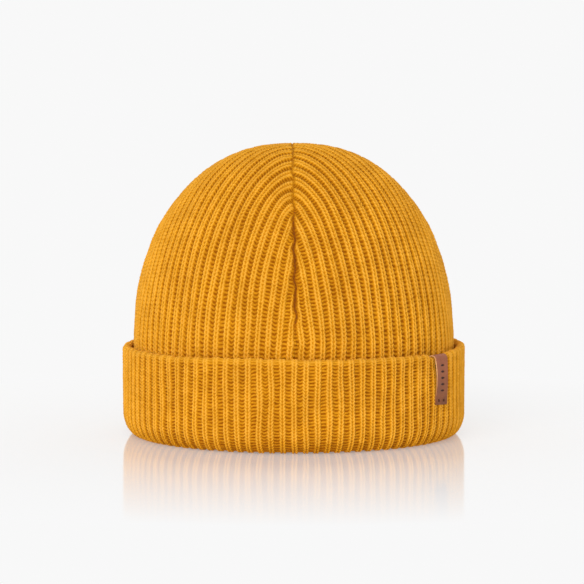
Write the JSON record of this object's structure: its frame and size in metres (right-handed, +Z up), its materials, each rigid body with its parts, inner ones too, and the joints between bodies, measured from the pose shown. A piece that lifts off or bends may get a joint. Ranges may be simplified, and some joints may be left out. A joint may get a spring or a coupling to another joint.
{
  "type": "knit beanie",
  "caption": "Rib-knit wool beanie in two layers, with a domed crown of four gores, a turned-up cuff and a small folded leather tag.",
  "frame": {"origin": "centre of the ring that the lower fold of the cuff rests on, on the table", "axes": "+Z up through the apex; -Y is the front, where one dart is centred; +X is towards the side that carries the leather tag"},
  "size_m": [0.199, 0.199, 0.169],
  "materials": {
    "wool": "matte",
    "thread": "matte",
    "leather": "satin",
    "satin": "satin"
  },
  "bodies": {
    "cuff": {"cuff_face": "wool", "cuff_backing": "wool", "cuff_hem": "wool"},
    "crown": {"outer_wall": "wool", "outer_gore_front_right": "wool", "outer_gore_back_right": "wool", "outer_gore_back_left": "wool", "outer_gore_front_left": "wool", "outer_seam_front": "thread", "outer_seam_right": "thread", "outer_seam_back": "thread", "outer_seam_left": "thread", "outer_apex_tack": "thread", "lining_wall": "wool", "lining_gore_front_right": "wool", "lining_gore_back_right": "wool", "lining_gore_back_left": "wool", "lining_gore_front_left": "wool", "lining_seam_front": "thread", "lining_seam_right": "thread", "lining_seam_back": "thread", "lining_seam_left": "thread", "lining_apex_tack": "thread", "care_label_stitching": "thread"},
    "tag": {"leather_tag": "leather", "tag_stitch_right": "thread", "tag_stitch_left": "thread"},
    "care_label": {"care_label": "satin"}
  },
  "joints": [
    {"name": "cuff_turn_down", "type": "slide", "parent": "cuff", "child": "crown", "axis": [0, 0, 1], "range_m": [0, 0.105], "deforming": ["cuff_face", "cuff_backing"]},
    {"name": "tag_turn_over", "type": "hinge", "parent": "cuff", "child": "tag", "pos_m": [0.08071, -0.05444, 0.05055], "axis": [-0.5592, -0.829, 0], "range_deg": [0, 181]},
    {"name": "care_label_flap", "type": "hinge", "parent": "crown", "child": "care_label", "pos_m": [0, 0.0872, 0.06], "axis": [-1, 0, 0], "range_deg": [0, 120]}
  ],
  "couplings": [
    {"joint": "tag_turn_over", "follows": "cuff_turn_down", "rad_per_m": 29.92}
  ]
}
